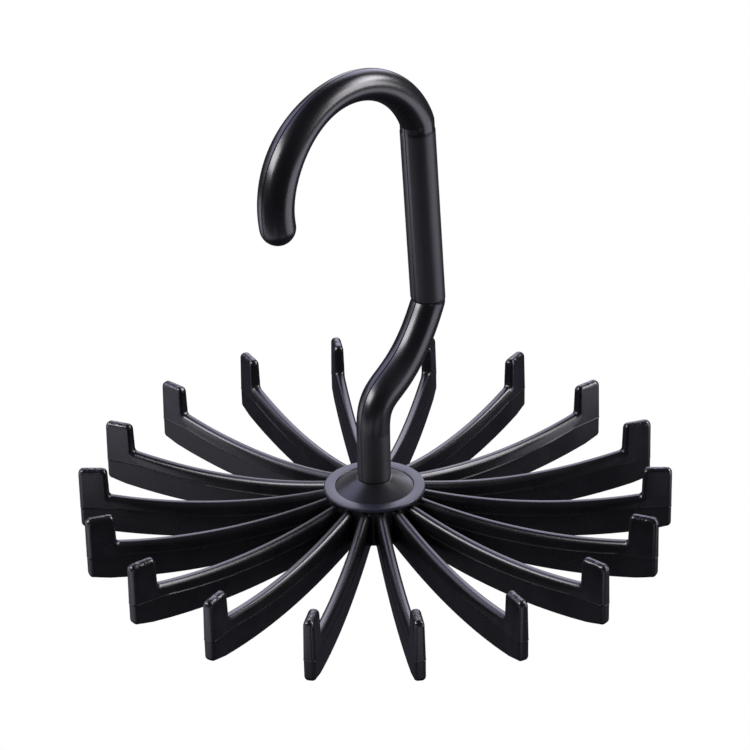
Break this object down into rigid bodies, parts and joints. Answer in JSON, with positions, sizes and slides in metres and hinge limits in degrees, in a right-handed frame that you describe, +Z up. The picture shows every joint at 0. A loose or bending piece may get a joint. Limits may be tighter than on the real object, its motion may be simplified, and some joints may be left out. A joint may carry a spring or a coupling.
{
  "type": "rotating closet hook",
  "caption": "J-shaped hook for a closet rod, over a flat wheel of upturned arms that turns on the hook's stem to present ties, belts and scarves.",
  "frame": {"origin": "where the closet rod bears: the top of the crown's inner side, in the middle of the hook's thickness", "axes": "+Z up along the wheel's axis, the hook bent in the XZ plane with its open tip towards -X, and Y across the hook"},
  "size_m": [0.1698, 0.17, 0.1449],
  "materials": {
    "hook_plastic": "glossy black moulded plastic",
    "wheel_plastic": "satin black moulded plastic",
    "cover_plastic": "dark grey plastic, the rim fine matte and the dish smooth",
    "washer_nylon": "natural white nylon",
    "screw_steel": "zinc-plated steel"
  },
  "bodies": {
    "hook": {"hook": "hook_plastic", "thrust_washer": "washer_nylon", "retaining_screw": "screw_steel"},
    "wheel": {"wheel_hub": "wheel_plastic", "hub_cover": "cover_plastic", "bottom_plug": "wheel_plastic", "arm_01": "wheel_plastic", "arm_02": "wheel_plastic", "arm_03": "wheel_plastic", "arm_04": "wheel_plastic", "arm_05": "wheel_plastic", "arm_06": "wheel_plastic", "arm_07": "wheel_plastic", "arm_08": "wheel_plastic", "arm_09": "wheel_plastic", "arm_10": "wheel_plastic", "arm_11": "wheel_plastic", "arm_12": "wheel_plastic", "arm_13": "wheel_plastic", "arm_14": "wheel_plastic", "arm_15": "wheel_plastic", "arm_16": "wheel_plastic", "arm_17": "wheel_plastic", "arm_18": "wheel_plastic"}
  },
  "joints": [
    {"name": "swivel", "type": "hinge", "parent": "hook", "child": "wheel", "pos_m": [0.0063, 0, -0.12], "axis": [0, 0, 1], "continuous": true}
  ]
}
